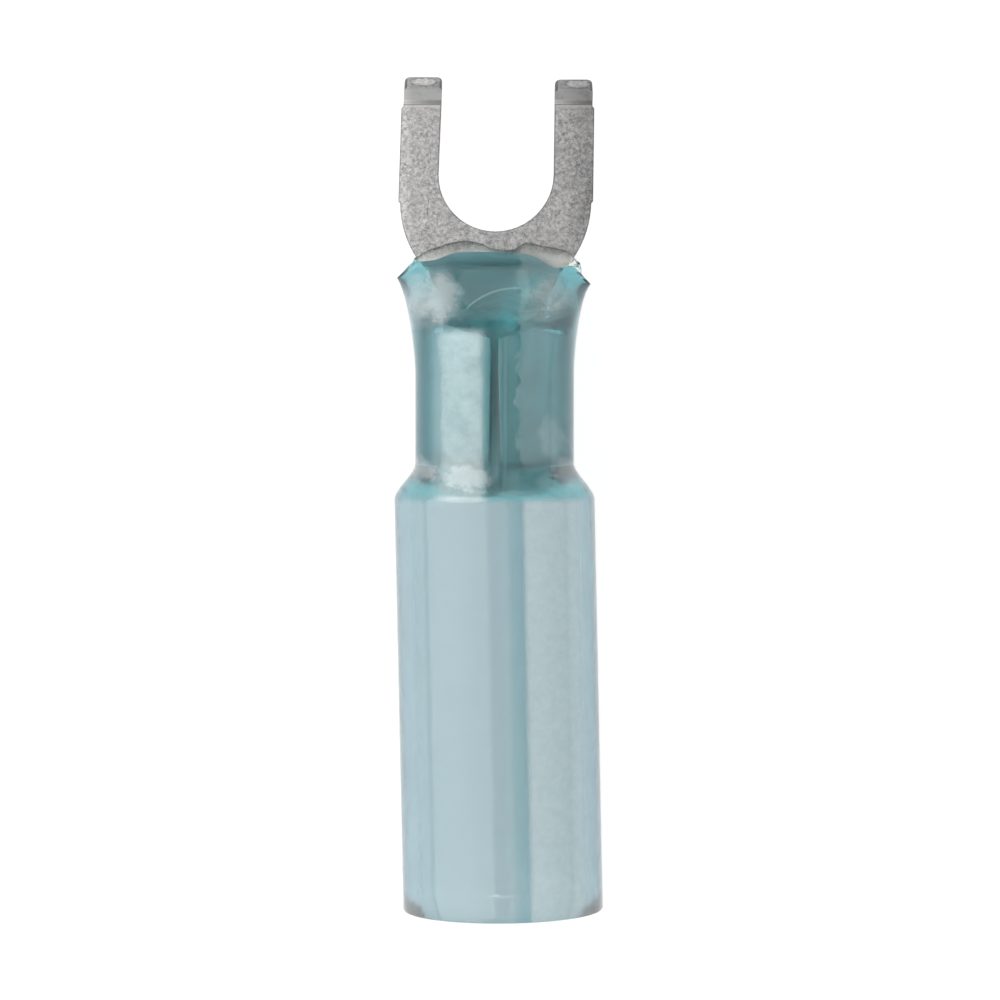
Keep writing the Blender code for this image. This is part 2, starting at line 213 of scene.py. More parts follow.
# %% [markdown]
# ## The sleeve's form
# Shrinking pulled the sleeve down on to the barrel, so it has a free tube, a shoulder, a waist and a
# mouth that opens into a flat saddle over the tongue. Each cross-section is an ellipse that gets a
# little squarer in the mouth. Writing that as one function keeps the blue outside and the clear inside
# parallel, which matters because the eye sees both walls at once. The sleeve also sinks a little where
# the barrel's seam runs under it.

# %% Stations and half sizes of the sleeve
BARREL_RADIUS = 2.05
BARREL_LENGTH = 5.52
SHEET_TOP = -1.25
SHEET_UNDER = -2.05
SHEET_MIDDLE = (SHEET_TOP + SHEET_UNDER) / 2
WAIST_RADIUS = 2.93
SHOULDER = (-0.44, 0.97)
FLARE_START = 4.20
FLARE_POWER = 1.55
TOP_FALL_START = 5.62
LIP = 8.73
MOUTH_HALF = 3.63
LIP_STAND = 0.60
WALL_TUBE = 0.34
WALL_WAIST = 0.48
WALL_LIP = 0.33
MOUTH_SQUARE = 3.3
MOUTH_SHIFT = 0.03
LIP_SWEEP = 1.04
LIP_SKEW = 0.12
SEAM_SINK = 0.07
SEAM_HALF = 0.26
TUBE_LEAN = tan(radians(1.2))


def ease(value, start, end):
    """0 before start, 1 after end, and a smooth S between them."""
    t = min(max((value - start) / (end - start), 0.0), 1.0)
    return t * t * (3 - 2 * t)


def mix(a, b, share):
    """From a to b by a share between 0 and 1."""
    return a + (b - a) * share


def hump(value, centre, width):
    """A round hill, 1 high at its centre."""
    return exp(-(((value - centre) / width) ** 2))


def flare(y):
    """0 on the waist and 1 at the lip."""
    return min(max((y - FLARE_START) / (LIP - FLARE_START), 0.0), 1.0)


def form(y):
    """Half width, top, underside and widest height of the sleeve's outside at a station."""
    radius = mix(TUBE_RADIUS, WAIST_RADIUS, ease(y, *SHOULDER))
    wide = radius + (MOUTH_HALF - WAIST_RADIUS) * flare(y) ** FLARE_POWER
    top = mix(radius, SHEET_TOP + LIP_STAND, ease(y, TOP_FALL_START, LIP))
    under = mix(-radius, SHEET_UNDER - LIP_STAND, ease(y, FLARE_START, LIP))
    return wide, top, under, SHEET_MIDDLE * ease(y, FLARE_START, LIP)


def wall(y):
    """The blue layer's thickness at a station."""
    thick = mix(WALL_TUBE, WALL_WAIST, ease(y, *SHOULDER))
    return mix(thick, WALL_LIP, ease(y, FLARE_START, LIP))


def slope_factor(y, which):
    """How much longer a wall is straight up than square to its sloping side."""
    step = 0.01
    return sqrt(1 + ((form(y + step)[which] - form(y - step)[which]) / (2 * step)) ** 2)


def lip_back(across):
    """How far the lip falls back at the sides, with the small waves that the knife and the heat left."""
    side = abs(across)
    wave = (0.25 if across > 0 else 0.13) * hump(side, 0.60, 0.13) - 0.15 * hump(side, 0.84, 0.08)
    return LIP_SWEEP * side**3 + LIP_SKEW * across + wave


def on_section(turn, y, wide, top, under, middle, square=2.0, swept=0.0):
    """The point of a cross-section at an angle, in the frame's millimetres."""
    c, s = cos(turn), sin(turn)
    across = abs(c) ** (2 / square) * (1 if c > 0 else -1)
    up = abs(s) ** (2 / square) * (1 if s > 0 else -1)
    height = top - middle if s > 0 else middle - under
    lean = TUBE_LEAN * max(SHOULDER[0] - y, 0.0) - MOUTH_SHIFT * flare(y)
    skew = END_SKEW * wide * across * ease(-y, -OPEN_END - 2.0, -OPEN_END)
    along = ease(y, 0.4, 1.2) * (1 - ease(y, 5.0, 5.9))
    sink = SEAM_SINK * hump(wide * across, 0.0, SEAM_HALF) * along * (s > 0)
    local = Vector((wide * across + lean, y - swept * lip_back(across) + skew, middle + height * up - sink))
    return local + AXIS


def at_depth(y, depth):
    """The cross-section that lies a given depth below the sleeve's outside, as a function of the angle."""
    wide, top, under, middle = form(y)
    top -= depth * slope_factor(y, 1)
    under += depth * slope_factor(y, 2)
    square = mix(2.0, MOUTH_SQUARE, flare(y))
    return lambda turn: on_section(turn, y, wide - depth, top, under, middle, square, flare(y) ** 3)


for part_name, y in (("waist", 3.0), ("lip", LIP)):
    print("outside at the", part_name, [round(v, 2) for v in form(y)])

# %% [markdown]
# ## Drawing a wall hoop by hoop
# A tube that changes its section is drawn the way a glass blower pulls one. A circle is added, its edge
# is extruded again and again, and each new hoop is fitted to its own section. Going out along the outside
# and back along the inside gives a wall with real thickness, and a last bridge closes the rim.

# %% Extruding hoops
HOOP_POINTS = 128
SMOOTH_BELOW = radians(50)


def draw_wall(name, sections):
    """A closed wall through a run of sections, each a function from an angle to a point."""
    bpy.ops.object.select_all(action="DESELECT")
    bpy.ops.mesh.primitive_circle_add(vertices=HOOP_POINTS, radius=TUBE_RADIUS, rotation=(pi / 2, 0, 0))
    piece = bpy.context.object
    piece.name = piece.data.name = name
    bpy.ops.object.transform_apply(location=True, rotation=True, scale=True)
    bpy.ops.object.mode_set(mode="EDIT")
    cage = bmesh.from_edit_mesh(piece.data)
    turn = cage.verts.layers.float.new("turn")
    for vert in cage.verts:
        vert[turn] = atan2(vert.co.z, vert.co.x)
        vert.co = sections[0](vert[turn])
    bmesh.update_edit_mesh(piece.data)
    for section in sections[1:]:
        bpy.ops.mesh.extrude_edges_move()
        cage = bmesh.from_edit_mesh(piece.data)
        turn = cage.verts.layers.float["turn"]
        for vert in cage.verts:
            if vert.select:
                vert.co = section(vert[turn])
        bmesh.update_edit_mesh(piece.data)
    bpy.ops.mesh.select_all(action="DESELECT")
    bpy.ops.mesh.select_non_manifold(extend=False)
    bpy.ops.mesh.bridge_edge_loops()
    bpy.ops.mesh.select_all(action="SELECT")
    bpy.ops.mesh.normals_make_consistent(inside=False)
    bpy.ops.object.mode_set(mode="OBJECT")
    piece.data.transform(Matrix.Scale(MM, 4))
    bpy.ops.object.shade_smooth_by_angle(angle=SMOOTH_BELOW)
    print(name, len(sections), "hoops", len(piece.data.polygons), "faces")
    return piece


# %% Rows of hoops, close together where the form turns
def spread(start, end, count):
    """Even steps from start to end."""
    return [mix(start, end, i / count) for i in range(count + 1)]


RIM_ROUND = 0.06
LONG_ROWS = spread(OPEN_END + RIM_ROUND, -0.9, 16)
SHOULDER_ROWS = spread(-0.75, 1.1, 20)
MOUTH_ROWS = [1.6, 2.4, 3.2, 3.9] + spread(FLARE_START, LIP - RIM_ROUND, 30)
ROWS = LONG_ROWS + SHOULDER_ROWS + MOUTH_ROWS
print(len(ROWS), "rows of hoops along the sleeve")

# %% The blue outer layer
outside = [at_depth(y, 0.0) for y in ROWS]
lip_rim = [at_depth(LIP, RIM_ROUND * 0.7), at_depth(LIP, WALL_LIP - RIM_ROUND * 0.7)]
inside = [at_depth(y, wall(y)) for y in reversed(ROWS)]
end_rim = [at_depth(OPEN_END, WALL_TUBE - RIM_ROUND * 0.7), at_depth(OPEN_END, RIM_ROUND * 0.7)]
jacket = draw_wall("blue_sleeve", outside + lip_rim + inside + end_rim)

# %% [markdown]
# ## The adhesive lining
# The lining follows the inside of the blue layer. Round the barrel it has melted on to the metal, and in
# front of the lip it has run out over the tongue in two lobes with a gap between them. The metal passes
# through it, as it does in the real one.

# %% The bore, which runs out inside the tongue's metal
BOND = 0.03
LINING_TUBE = 0.24
LINING_WAIST = 0.31
BARREL_GAP = 0.06
TONGUE_BITE = 0.2
BORE_END = LIP - 0.45


def bore(y):
    """The lining's inside: round on the barrel, then flattened into the tongue's metal."""
    depth = wall(y) + BOND + mix(LINING_TUBE, LINING_WAIST, ease(y, *SHOULDER))
    if y <= FLARE_START:
        return at_depth(y, depth)
    radius = BARREL_RADIUS + BARREL_GAP
    top = max(form(y)[1] - depth * slope_factor(y, 1), SHEET_TOP - TONGUE_BITE)
    under = mix(-radius, SHEET_UNDER + TONGUE_BITE, ease(y, BARREL_LENGTH, BORE_END))
    return lambda turn: on_section(turn, y, radius, top, under, (top + under) / 2)


print("bore radius in the tube", round(TUBE_RADIUS - WALL_TUBE - BOND - LINING_TUBE, 2))

# %% [markdown]
# ## The film in front of the lip
# The heat squeezed some adhesive out over the tongue, where it froze in a thin film with a rounded front. Its
# front edge is a smooth line through measured points, and its hoops run from the lining's section under the
# lip out to that line, swelling a little on the way.

# %% The film that has run out in front of the lip
FILM_EDGE = [
    (-3.20, 8.55), (-3.00, 8.80), (-2.30, 8.98), (-1.66, 9.13), (-1.03, 9.19), (-0.52, 9.07),
    (-0.09, 8.88), (0.30, 8.83), (0.71, 8.84), (1.03, 9.05), (1.27, 9.12), (2.00, 8.99),
    (2.71, 8.93), (3.05, 8.74), (3.25, 8.45),
]
FILM_STAND = 0.19
FILM_SIDE = 3.10
FILM_RIGHT = 1.05
FILM_CORNER = 1.08
FILM_FLATNESS = 3.0
FILM_STEPS = 10
ROOT_SHARE = 0.8
SHEET_HALF = 0.4


def film_edge(x):
    """How far forward the film reaches at x: a smooth line through the measured points."""
    for (x0, y0), (x1, y1) in zip(FILM_EDGE, FILM_EDGE[1:]):
        if x <= x1:
            return mix(y0, y1, ease(x, x0, x1))
    return FILM_EDGE[-1][1]


def film(share):
    """A hoop of the film between the lining's own section under the lip and the film's front edge."""
    lip_section = at_depth(LIP, WALL_LIP + BOND)

    def place(turn):
        start = lip_section(turn) - AXIS
        c, s = cos(turn), sin(turn)
        across = min(max(FILM_CORNER * c, -1.0), 1.0)
        up = min(max(FILM_FLATNESS * s, -1.0), 1.0)
        x = FILM_SIDE * across * (FILM_RIGHT if across > 0 else 1.0)
        y = film_edge(x) - 0.25 * abs(across) ** 4 if s > 0 else LIP + 0.25 - 0.6 * abs(across) ** 4
        swell = 1 + 0.5 * hump(x, 2.75, 0.35) + 0.15 * hump(x, -1.2, 0.8)
        stand = FILM_STAND * swell * sqrt(max(1 - share**3, 0.0)) - 0.02 * share
        front = Vector((x * mix(1.0, 0.975, share**3), y, SHEET_MIDDLE + (SHEET_HALF + stand) * up))
        plan = start.lerp(front, share**0.8)
        plan.z = mix(start.z, front.z, min(share * 4, 1.0))
        return plan + AXIS

    return place


def film_root(turn):
    """Where the film ends inside the tongue's metal, behind its front edge."""
    x, y, z = film(1.0)(turn) - AXIS
    side = 1 if z > SHEET_MIDDLE else -1
    return Vector((x * ROOT_SHARE, y - 0.1, SHEET_MIDDLE + side * 0.2)) + AXIS


# %% The whole lining, from the film back along the outside
RIM_SOFT = 0.04
bore_rows = [y for y in ROWS if y < BORE_END]
clear_out = [at_depth(y, wall(y) + BOND) for y in reversed([*ROWS, LIP])]
rim_depths = (wall(OPEN_END) + BOND + RIM_SOFT, wall(OPEN_END) + BOND + LINING_TUBE - RIM_SOFT)
clear_rim = [at_depth(OPEN_END, depth) for depth in rim_depths]
film_hoops = [film(i / FILM_STEPS) for i in range(FILM_STEPS, 0, -1)]
lining = draw_wall(
    "clear_adhesive", [bore(y) for y in bore_rows] + [film_root] + film_hoops + clear_out + clear_rim
)

# %% [markdown]
# ## The fork
# The fork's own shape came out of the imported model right: a flat blank, rolled into a barrel at one end
# and turned up at the tips. A node's mesh comes as loose triangles, which shade as flats. A copy has its
# doubles merged, its triangles joined to quads and its normals smoothed, and then stands for the node.
# The flat faces are shaded flat, so only the bends and the thin rounded edges change the light.

# %% Copying the fork's shape
MERGE_BELOW = 0.001


def only(piece):
    """Selects one piece and nothing else."""
    bpy.ops.object.select_all(action="DESELECT")
    piece.select_set(True)
    bpy.context.view_layer.objects.active = piece


def carried_over(node, name):
    """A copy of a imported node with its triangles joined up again."""
    piece = frame["nodes"][node].copy()
    piece.data = piece.data.copy()
    piece.name = piece.data.name = name
    piece.parent = None
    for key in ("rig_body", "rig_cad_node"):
        if key in piece:
            del piece[key]
    scene.collection.objects.link(piece)
    only(piece)
    bpy.ops.mesh.customdata_custom_splitnormals_clear()
    bpy.ops.object.mode_set(mode="EDIT")
    bpy.ops.mesh.select_all(action="SELECT")
    bpy.ops.mesh.remove_doubles(threshold=MERGE_BELOW * MM)
    bpy.ops.mesh.tris_convert_to_quads(face_threshold=radians(40), shape_threshold=radians(60))
    bpy.ops.object.mode_set(mode="OBJECT")
    bpy.ops.object.shade_smooth_by_angle(angle=radians(35))
    return piece


metal = carried_over("fork_terminal", "tinned_fork")

# %% Shading the flat faces flat
FLAT = 0.9995
FORK_START = 8.0
TIP_SLOPE = cos(radians(32))
for polygon in metal.data.polygons:
    up = abs(polygon.normal.z)
    if up > FLAT or abs(up - TIP_SLOPE) < 0.003 and abs(polygon.normal.x) < 0.01:
        polygon.use_smooth = False
for piece in (metal, jacket, lining):
    print(piece.name, len(piece.data.vertices), "points", len(piece.data.polygons), "faces")

# %% [markdown]
# ## Sheared edges
# The rim of the stamping is painted dark: painted shade, and the dark surround mirrored in its thin rounded
# edges. The cut ends of the turned-up tips have been rubbed bright in the middle. The faces of the rim and
# of the two ends are found by the way they face and are marked, so that the material can finish them apart.

# %% A thin ring just inside the rim of the fork's flat faces
RING_WIDTH = 0.035
only(metal)
bpy.ops.object.mode_set(mode="EDIT")
bpy.ops.mesh.select_mode(type="FACE")
bpy.ops.mesh.select_all(action="DESELECT")
cage = bmesh.from_edit_mesh(metal.data)
for face in cage.faces:
    face.select = abs(face.normal.z) > FLAT and face.calc_center_median().y / MM - AXIS.y > FORK_START
bmesh.update_edit_mesh(metal.data)
bpy.ops.mesh.inset(thickness=RING_WIDTH * MM, use_boundary=True)
cage = bmesh.from_edit_mesh(metal.data)
cage.faces.ensure_lookup_table()
flat_inside = {face.index for face in cage.faces if face.select}
bpy.ops.object.mode_set(mode="OBJECT")
print("flat faces inside the ring", len(flat_inside), "of", len(metal.data.polygons))

# %% Marking the rim and the cut ends
TIP_START = 14.3
RING_SHARE = 0.5
rim = metal.data.attributes.new("rim", "FLOAT", "FACE")
cut_end = metal.data.attributes.new("cut_end", "FLOAT", "FACE")
end_places = {-1: [], 1: []}
for polygon in metal.data.polygons:
    place = polygon.center / MM - AXIS
    facing = polygon.normal
    on_tip = place.y > TIP_START
    on_fork = FORK_START < place.y <= TIP_START
    if on_tip and facing.y > 0.75 and facing.z > 0.4:
        cut_end.data[polygon.index].value = 1.0
        corners = [metal.data.vertices[number].co / MM - AXIS for number in polygon.vertices]
        end_places[1 if place.x > 0 else -1] += corners
    elif on_tip and abs(facing.x) > 0.25 or on_fork and abs(facing.z) < 0.95:
        rim.data[polygon.index].value = 1.0
    elif place.y > FORK_START and abs(facing.z) > FLAT and polygon.index not in flat_inside:
        rim.data[polygon.index].value = RING_SHARE


def middle_and_half(values):
    """The middle of a run of values and half its length."""
    return (max(values) + min(values)) / 2, (max(values) - min(values)) / 2


END_OVALS = []
for side in (-1, 1):
    middle_x, half_x = middle_and_half([place.x for place in end_places[side]])
    middle_z, half_z = middle_and_half([place.z for place in end_places[side]])
    END_OVALS.append((middle_x, middle_z, half_x, half_z))
print("cut ends", [[round(v, 2) for v in end] for end in END_OVALS])

# %% [markdown]
# ## Fused faces
# Hot-melt adhesive wets the sleeve and the metal, so in the real part there is no air between them. Two
# glass surfaces with a hair of air between them would mirror the light instead. Each face that lies
# against a neighbour is marked, and the materials give it no refraction of its own, as if the two were one.

# %% Marking the faces where two pieces are fused
FUSED_REACH = 0.12


def tree_of(piece):
    """A search tree of a piece's faces, which finds the nearest one quickly."""
    return BVHTree.FromPolygons(
        [v.co for v in piece.data.vertices], [p.vertices for p in piece.data.polygons]
    )


def mark_fused(piece, others, reach):
    """Writes 1 on each face that lies within reach of another piece and faces it."""
    trees = [tree_of(other) for other in others]
    fused = piece.data.attributes.new("fused", "FLOAT", "FACE")
    count = 0
    for polygon in piece.data.polygons:
        for tree in trees:
            hit, _, _, distance = tree.find_nearest(polygon.center)
            if distance < reach and (hit - polygon.center).dot(polygon.normal) > 0:
                fused.data[polygon.index].value = 1.0
                count += 1
                break
    print(piece.name, count, "fused faces")


mark_fused(jacket, [lining], FUSED_REACH * MM)
mark_fused(lining, [jacket, metal], FUSED_REACH * MM)

# %% [markdown]
# ## Helpers for materials
# Every finish here is built from the same few steps: object coordinates in millimetres, noise at a real
# size, and simple maths on the point's place along the terminal. Small functions keep the recipes short.


# %% Starting a finish and putting it on a piece
def new_finish(name):
    """A new material, its node tree and its main shader."""
    made = bpy.data.materials.new(name)
    made.use_nodes = True
    return made, made.node_tree, made.node_tree.nodes["Principled BSDF"]


def dress(piece, finish):
    piece.data.materials.clear()
    piece.data.materials.append(finish)


# %% Places and noise in millimetres
def millimetres(tree):
    """Object coordinates in millimetres, so a pattern stays on its piece from any side."""
    place = tree.nodes.new("ShaderNodeTexCoord")
    scaled = tree.nodes.new("ShaderNodeMapping")
    scaled.inputs["Scale"].default_value = (1 / MM, 1 / MM, 1 / MM)
    tree.links.new(place.outputs["Object"], scaled.inputs["Vector"])
    return scaled.outputs[0]


def noise(tree, where, scale, detail=3.0, roughness=0.55, stretch=None):
    """Noise whose lumps are about 1 / scale millimetres across, pulled along an axis if asked."""
    if stretch:
        pulled = tree.nodes.new("ShaderNodeMapping")
        pulled.inputs["Scale"].default_value = stretch
        tree.links.new(where, pulled.inputs["Vector"])
        where = pulled.outputs[0]
    made = tree.nodes.new("ShaderNodeTexNoise")
    made.inputs["Scale"].default_value = scale
    made.inputs["Detail"].default_value = detail
    made.inputs["Roughness"].default_value = roughness
    tree.links.new(where, made.inputs["Vector"])
    return made.outputs["Fac"]


# %% Levels, sums and products
def levels(tree, source, from_min, from_max, to_min, to_max, smooth=False):
    """Maps one range of values to another, as a levels slider does."""
    made = tree.nodes.new("ShaderNodeMapRange")
    if smooth:
        made.interpolation_type = "SMOOTHSTEP"
    made.inputs["From Min"].default_value = from_min
    made.inputs["From Max"].default_value = from_max
    made.inputs["To Min"].default_value = to_min
    made.inputs["To Max"].default_value = to_max
    tree.links.new(source, made.inputs["Value"])
    return made.outputs["Result"]


def arithmetic(tree, operation, first, second=None, third=None, clamp=False):
    """One maths node, fed by numbers or by other nodes."""
    made = tree.nodes.new("ShaderNodeMath")
    made.operation = operation
    made.use_clamp = clamp
    for socket, value in zip(made.inputs, (first, second, third)):
        if value is None:
            continue
        if isinstance(value, (int, float)):
            socket.default_value = value
        else:
            tree.links.new(value, socket)
    return made.outputs[0]


def product(tree, *values):
    """A chain of multiply nodes."""
    total = values[0]
    for value in values[1:]:
        total = arithmetic(tree, "MULTIPLY", total, value)
    return total


def total_of(tree, values):
    """A chain of add nodes."""
    total = values[0]
    for value in values[1:]:
        total = arithmetic(tree, "ADD", total, value)
    return total


# %% Blending colours and raising a surface
def blend_colour(tree, share, first, second):
    """The first colour with a share of the second laid over it."""
    made = tree.nodes.new("ShaderNodeMix")
    made.data_type = "RGBA"
    for key, value in (("Factor", share), ("A", first), ("B", second)):
        socket = made.inputs[key]
        if isinstance(value, (int, float)):
            socket.default_value = value
        elif isinstance(value, tuple):
            socket.default_value = (*value, 1.0)
        else:
            tree.links.new(value, socket)
    return made.outputs["Result"]


def bumped(tree, shader, height, distance_mm, strength):
    """Lets a height from 0 to 1 tilt the surface as if it stood that many millimetres high."""
    bump = tree.nodes.new("ShaderNodeBump")
    bump.inputs["Strength"].default_value = strength
    bump.inputs["Distance"].default_value = distance_mm * MM
    tree.links.new(height, bump.inputs["Height"])
    tree.links.new(bump.outputs[0], shader.inputs["Normal"])


# %% Places on the terminal, bands and ovals
def terminal_places(tree):
    """X, Y and Z of a point counted from the barrel's axis, with the tube's lean taken off X."""
    parts = tree.nodes.new("ShaderNodeSeparateXYZ")
    tree.links.new(millimetres(tree), parts.inputs[0])
    y = arithmetic(tree, "SUBTRACT", parts.outputs["Y"], AXIS.y)
    z = arithmetic(tree, "SUBTRACT", parts.outputs["Z"], AXIS.z)
    behind = arithmetic(tree, "MAXIMUM", arithmetic(tree, "SUBTRACT", SHOULDER[0], y), 0.0)
    x = arithmetic(tree, "SUBTRACT", parts.outputs["X"], AXIS.x)
    x = arithmetic(tree, "SUBTRACT", x, arithmetic(tree, "MULTIPLY", behind, TUBE_LEAN))
    return x, y, z


def band(tree, value, start, end, soft_start, soft_end=None):
    """1 between two limits and 0 outside them, with a soft edge at each."""
    soft_end = soft_start if soft_end is None else soft_end
    rise = levels(tree, value, start - soft_start, start + soft_start, 0, 1, smooth=True)
    fall = levels(tree, value, end - soft_end, end + soft_end, 1, 0, smooth=True)
    return arithmetic(tree, "MULTIPLY", rise, fall)


def marked_faces(tree, mark):
    """The value that was written on each face under a mark's name."""
    made = tree.nodes.new("ShaderNodeAttribute")
    made.attribute_name = mark
    return made.outputs["Fac"]


def far_from(tree, x, y, centre, radii):
    """How far a point is from a centre on the plan, counted in the radii of an ellipse."""
    across = arithmetic(tree, "DIVIDE", arithmetic(tree, "SUBTRACT", x, centre[0]), radii[0])
    along = arithmetic(tree, "DIVIDE", arithmetic(tree, "SUBTRACT", y, centre[1]), radii[1])
    squares = arithmetic(tree, "ADD", product(tree, across, across), product(tree, along, along))
    return arithmetic(tree, "SQRT", squares)


def oval(tree, x, y, centre, radii, soft):
    """1 inside an oval, falling to 0 over a soft rim."""
    return levels(tree, far_from(tree, x, y, centre, radii), 1 - soft, 1 + soft, 1, 0, smooth=True)


# %% [markdown]
# ## Tin plate
# The fork is stamped copper with a matte tin plating. Close up it is a fine grey grain, a tenth of a
# millimetre across, with cloudy patches, a few scratches and smoother bands where the tips were bent. A
# rough metal shader is the base. Noise at two sizes moves its colour, roughness and height, and because
# the noise is counted in the piece's own millimetres, the grain runs on over every edge.

# %% The grain and the clouds of the plating
DARK_GRAIN = (0.25, 0.245, 0.243)
LIGHT_GRAIN = (0.68, 0.67, 0.667)
BEND_BAND = (14.13, 14.80)
tin, tree, shader = new_finish("tin_plate")
where = millimetres(tree)
x, y, z = terminal_places(tree)
grain = noise(tree, where, 8.0, 4.0, 0.8)
cloud = noise(tree, where, 1.1, 4.0, 0.6)
bend_band = product(tree, band(tree, y, *BEND_BAND, 0.07), levels(tree, cloud, 0.3, 0.5, 0.7, 1))
contrast = arithmetic(tree, "SUBTRACT", 1.0, product(tree, bend_band, 0.75))
grain_share = arithmetic(tree, "SUBTRACT", levels(tree, grain, 0.37, 0.63, 0, 1), 0.5)
grain_share = arithmetic(tree, "MULTIPLY_ADD", grain_share, contrast, 0.5)
colour = blend_colour(tree, grain_share, DARK_GRAIN, LIGHT_GRAIN)
colour = blend_colour(tree, levels(tree, cloud, 0.38, 0.62, 0, 0.35), colour, (0.44, 0.432, 0.428))
print("grain", DARK_GRAIN, "to", LIGHT_GRAIN)

# %% Bends, a painted band of shade on the bend, smudges, nicks and the painted dark rim
BEND_SHADE_LINE = (14.20, 14.36)
RIM_PAINTED_SHADE = (0.08, 0.078, 0.077)
colour = blend_colour(tree, product(tree, bend_band, 0.6), colour, (0.68, 0.67, 0.665))
# painted shade: a darker band across the bend
bend_shade = band(tree, y, *BEND_SHADE_LINE, 0.05)
colour = blend_colour(tree, product(tree, bend_shade, 0.75), colour, (0.27, 0.265, 0.262))
smudge = levels(tree, noise(tree, where, 0.8, 5.0, 0.7), 0.55, 0.7, 0, 0.35)
colour = blend_colour(tree, smudge, colour, (0.25, 0.245, 0.245))
nick = levels(tree, noise(tree, where, 1.0, 2.0, 0.5, stretch=(9.0, 1.0, 1.0)), 0.70, 0.74, 0, 0.5)
colour = blend_colour(tree, nick, colour, (0.12, 0.117, 0.115))
# painted shade: a dark outline on the rim, and a fainter one on the thin ring inside it
colour = blend_colour(tree, product(tree, marked_faces(tree, "rim"), 0.9), colour, RIM_PAINTED_SHADE)
print("bend line at", BEND_SHADE_LINE)

# %% [markdown]
# ### The cut ends of the tips
# Each end was sheared and then rubbed, so a dark frame and a thin darker line run round a brighter middle.
# An oval is fitted to each end, and noise moves the point that is looked up in it, so the frame's edge is
# worn and not drawn with a compass. The two ends are worn differently, and a small table says how.

# %% A frame, a line and a bright middle on each cut end
FRAME_TONE = (0.20, 0.195, 0.193)
LINE_TONE = (0.10, 0.097, 0.095)
MIDDLE_TONE = (0.74, 0.73, 0.725)
END_WEAR = [
    {"shift": 0.0, "frame": 0.45, "line": 0.45, "middle": 0.26},
    {"shift": 0.13, "frame": 0.55, "line": 0.6, "middle": 0.2},
]
worn_x = arithmetic(tree, "MULTIPLY_ADD", arithmetic(tree, "SUBTRACT", cloud, 0.5), 0.9, x)
loose_z = arithmetic(tree, "MULTIPLY_ADD", arithmetic(tree, "SUBTRACT", grain, 0.5), 0.3, z)
for (middle_x, middle_z, half_x, half_z), wear in zip(END_OVALS, END_WEAR):
    far = far_from(tree, worn_x, loose_z, (middle_x + wear["shift"], middle_z), (half_x, half_z))
    this_end = product(tree, marked_faces(tree, "cut_end"), band(tree, x, middle_x - 1, middle_x + 1, 0.1))
    for share, amount, tone in (
        (levels(tree, far, 0.62, 0.95, 0, 1, smooth=True), wear["frame"], FRAME_TONE),
        (band(tree, far, 0.68, 0.82, 0.06), wear["line"], LINE_TONE),
        (levels(tree, far, 0.45, 0.72, 1, 0, smooth=True), wear["middle"], MIDDLE_TONE),
    ):
        colour = blend_colour(tree, product(tree, this_end, share, amount), colour, tone)
print(len(END_WEAR), "cut ends finished")

# %% [markdown]
# ### Wetted tin
# Where the clear adhesive wets the plating, its pores are filled and it looks smooth and pale, and painted
# shade darkens the hollow between the curled flanks. The legs' outer sides also take the light differently,
# the left one brighter and the right one darker, and a painted slope of light and shade across the fork gives
# that.

# %% The wetted zone, painted shade in the hollow, and painted light and shade across the fork
WETTED_TONE = (0.98, 0.97, 0.96)
HOLLOW_SHADE = ((-0.1, 7.05), (1.45, 1.0), 0.35)
wet_limit = arithmetic(tree, "MULTIPLY_ADD", arithmetic(tree, "ABSOLUTE", x), 0.17, y)
wet_limit = arithmetic(tree, "ADD", wet_limit, product(tree, band(tree, x, -0.15, 0.85, 0.25), 0.32))
wetted = levels(tree, wet_limit, 8.80, 9.20, 1, 0, smooth=True)
colour = blend_colour(tree, product(tree, wetted, 0.9), colour, WETTED_TONE)
# painted shade in the hollow between the curled flanks
colour = blend_colour(tree, product(tree, oval(tree, x, y, *HOLLOW_SHADE), 0.35), colour, (0.30, 0.34, 0.35))
# painted light and shade: brighter to the left, darker on the right leg's outer side, lighter on the left
# leg's
painted_light_across = levels(tree, x, -3.0, 3.0, 1.07, 0.93)
painted_shade_right = levels(tree, x, 2.5, 3.4, 1.0, 0.76)
painted_light_left = levels(tree, x, -3.45, -3.05, 1.22, 1.0)
lit_and_shaded = tree.nodes.new("ShaderNodeVectorMath")
lit_and_shaded.operation = "SCALE"
tree.links.new(colour, lit_and_shaded.inputs[0])
tree.links.new(product(tree, painted_light_across, painted_shade_right, painted_light_left), lit_and_shaded.inputs["Scale"])
tree.links.new(lit_and_shaded.outputs[0], shader.inputs["Base Color"])
print("hollow at", HOLLOW_SHADE[0])

# %% The plating's surface
GRAIN_HEIGHT = 0.02
scratch = noise(tree, where, 1.0, 2.0, 0.5, stretch=(14.0, 1.2, 1.0))
shader.inputs["Metallic"].default_value = 1.0
tree.links.new(levels(tree, cloud, 0.3, 0.7, 0.44, 0.56), shader.inputs["Roughness"])
height = total_of(tree, [grain, product(tree, scratch, 0.4)])
bumped(tree, shader, height, GRAIN_HEIGHT, 0.4)
dress(metal, tin)
print(tin.name, len(tree.nodes), "nodes")

# %% [markdown]
# ## Blue polyolefin
# The sleeve is a clear blue-green plastic, and its colour lies in its depth: light that crosses more of it
# loses more red. A volume that absorbs does that by itself. Stretching has left the surface a little milky,
# and broad milky patches on it are painted highlights and painted sheen, clear along the seam and along one
# streak of the extrusion. The milky patches are the same shader with some of its transmission swapped for
# plain scattering, and their places are bands and soft ovals on the terminal's own coordinates.

